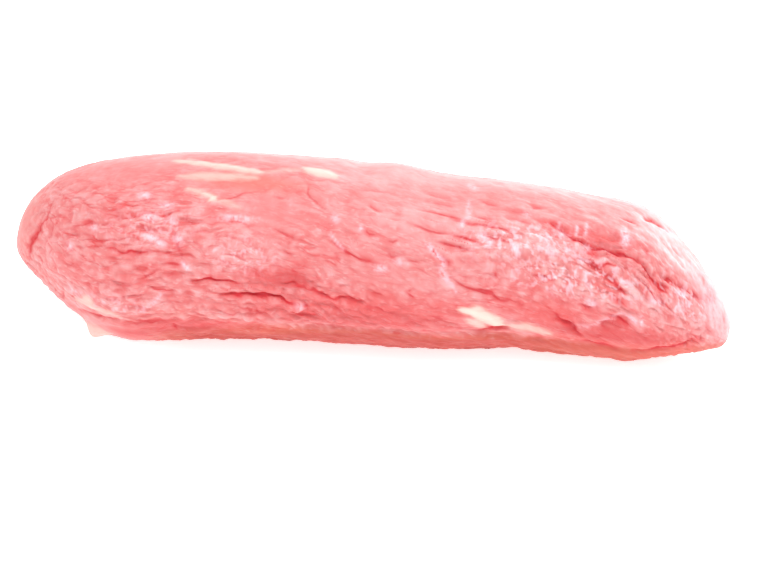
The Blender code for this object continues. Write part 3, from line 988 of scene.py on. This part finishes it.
colour = LEAN
for tint, share in (
    (PALE, spread(grain_texture(14, 7, 3), 0.45, 0.75, 0.0, 0.35)),
    (PALE, spread(blotch, 0.5, 0.75, 0.0, 0.35)),
    (WARM, attribute("warm")),
    (PALE, attribute("pale")),
    (RED, attribute("red")),
    (RED, spread(grain_texture(6, 3.2, 2), 0.55, 0.85, 0.0, 0.6)),
    (RED, times(spread(blotch, 0.5, 0.25, 0.0, 0.35), coarse)),
    (RED, hollow),
    (GROOVE_SHADE, times(walls, 0.65)),
    (PALE, times(spread(lump_height, -0.1, 0.5, 0.0, 0.42), away_from_red)),
    (RED, times(spread(top_gap, 0.5, 0.85, 0.0, 0.45), opened)),
    (PALE, times(spread(top_gap, 0.35, 0.1, 0.0, 0.35), opened)),
    (GROOVE_SHADE, times(valley, 0.35)),
    (PALE, times(fibres, away_from_red)),
    (EDGE_SHADE_BROWN, painted_edge_shade),
    (SHADE_RED, spread(attribute("brown"), 0.8, 1.0, 0.0, 0.4)),
    (GROOVE_SHADE, times(attribute("streaks"), 0.3)),
    (RED, attribute("low")),
    (SHADE_RED, attribute("dark")),
    (GROOVE_SHADE, spread(attribute("crease"), 0.08, 0.8, 0.0, 0.85)),
    (CREASE_SHADE, spread(cut, 0.2, 1.0)),
    # Painted glints on the wet patches and small ridges, and the whitish threads of silver skin
    (GLINT, times(spread(grain_texture(1.9, 1.9, 1), 0.48, 0.68, 0.0, 0.8), wet_and_glint)),
    (GLINT, times(shine, attribute("light"))),
    (GLINT, times(spread(grain_texture(2.0, 1.4, 2), 0.3, 0.55), attribute("thread"))),
    (FAT, times(spread(ragged, 0.4, 2.2), fat_here)),
    (CREAM, times(times(spread(ragged, 1.4, 3.2), fat_here), fat_here)),
):
    colour = tinted(colour, tint, share)
links.new(colour, shader.inputs["Base Color"])

# Wet patches shine, but not inside the creases. The finest relief is under a third of a mm.
FINEST_RELIEF = 0.3 * MM
dry = maths("MULTIPLY_ADD", grain_texture(8, 4, 2), 0.3, 0.36)
links.new(maths("MULTIPLY_ADD", wet_and_glint, -0.1, dry), shader.inputs["Roughness"])
open_skin = spread(maths("MAXIMUM", cut, attribute("crease")), 0.2, 1.0, 0.5, 0.0)
links.new(times(wet_and_glint, open_skin), shader.inputs["Coat Weight"])
relief = times(pebbles, spread(opened, 0.0, 1.0, 0.5, 0.9))
relief = maths("MULTIPLY_ADD", grain_texture(4, 2.2, 2), 1.6, relief)
relief = maths("MULTIPLY_ADD", valley, -0.4, relief)
relief = maths("MULTIPLY_ADD", walls, -0.3, relief)
bump = nodes.new("ShaderNodeBump")
bump.inputs["Distance"].default_value = FINEST_RELIEF
links.new(times(relief, coarse), bump.inputs["Height"])
links.new(bump.outputs["Normal"], shader.inputs["Normal"])

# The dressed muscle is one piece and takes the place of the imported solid.
veal = bpy.data.objects.new("veal", veal_mesh)
veal_mesh.materials.append(meat)
bpy.context.scene.collection.objects.link(veal)
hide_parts("veal_round")
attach(veal, "root")

# The floor is a wide sheet of white board that lies just under the meat. It glows faintly, as the
# bright studio floor does, so that it stays white and takes hardly any shadow.
FLOOR_REACH = 4.0
FLOOR_DROP = 0.2 * MM
BOARD_WHITE = (0.95, 0.95, 0.95, 1.0)
BOARD_ROUGHNESS = 0.6
BOARD_GLOW = 0.62
GLOW_COLOUR = (1.0, 1.0, 1.0, 1.0)
floor_mesh = bpy.data.meshes.new("floor")
bm = bmesh.new()
bmesh.ops.create_grid(bm, x_segments=1, y_segments=1, size=FLOOR_REACH)
bmesh.ops.translate(bm, verts=bm.verts, vec=(0, 0, -FLOOR_DROP))
bm.to_mesh(floor_mesh)
bm.free()
board = bpy.data.materials.new("white_board")
board.use_nodes = True
board_inputs = board.node_tree.nodes["Principled BSDF"].inputs
board_inputs["Base Color"].default_value = BOARD_WHITE
board_inputs["Roughness"].default_value = BOARD_ROUGHNESS
board_inputs["Emission Color"].default_value = GLOW_COLOUR
board_inputs["Emission Strength"].default_value = BOARD_GLOW
floor_mesh.materials.append(board)
floor = bpy.data.objects.new("floor", floor_mesh)
bpy.context.scene.collection.objects.link(floor)

# The room is bright on all sides. One large soft lamp stands behind to the right and a second one
# hangs overhead, a little to the front.
ROOM_COLOUR = (1.0, 0.98, 0.965, 1.0)
ROOM_LIGHT = 1.1
world = bpy.data.worlds.new("bright_room")
world.use_nodes = True
world.node_tree.nodes["Background"].inputs["Color"].default_value = ROOM_COLOUR
world.node_tree.nodes["Background"].inputs["Strength"].default_value = ROOM_LIGHT
bpy.context.scene.world = world


def add_lamp(name, place, target, size, power):
    """A soft round lamp that faces its target."""
    lamp = bpy.data.lights.new(name, "AREA")
    lamp.shape = "DISK"
    lamp.size = size
    lamp.energy = power
    holder = bpy.data.objects.new(name, lamp)
    facing = (Vector(target) - Vector(place)).to_track_quat("-Z", "Y")
    holder.matrix_world = Matrix.LocRotScale(Vector(place), facing, None)
    bpy.context.scene.collection.objects.link(holder)


add_lamp("back_window", place=(0.5, 0.75, 0.36), target=(0.03, 0, 0.03), size=0.9, power=8.0)
add_lamp("overhead", place=(0.0, -0.25, 1.15), target=(0, 0, 0), size=0.5, power=8.0)

# The camera stands in front, a little to the right, and looks down at the meat from as high as
# the piece was seen from.
AZIMUTH = 8.0
ELEVATION = 38.0
DISTANCE = 0.6945
TARGET = Vector((2.0, 8.5, 0.0))
LENS = 85.0
SENSOR_WIDTH = 36.0
camera = bpy.data.cameras.new("camera")
camera.lens = LENS
camera.sensor_width = SENSOR_WIDTH
viewer = bpy.data.objects.new("camera", camera)
angle, rise = np.radians(AZIMUTH), np.radians(ELEVATION)
back = Vector((np.sin(angle) * np.cos(rise), -np.cos(angle) * np.cos(rise), np.sin(rise)))
stand = (TARGET - Vector(middle)) * MM + back * DISTANCE
viewer.matrix_world = Matrix.LocRotScale(stand, back.to_track_quat("Z", "Y"), None)
bpy.context.scene.collection.objects.link(viewer)
bpy.context.scene.camera = viewer
bpy.context.scene.view_settings.view_transform = "Standard"
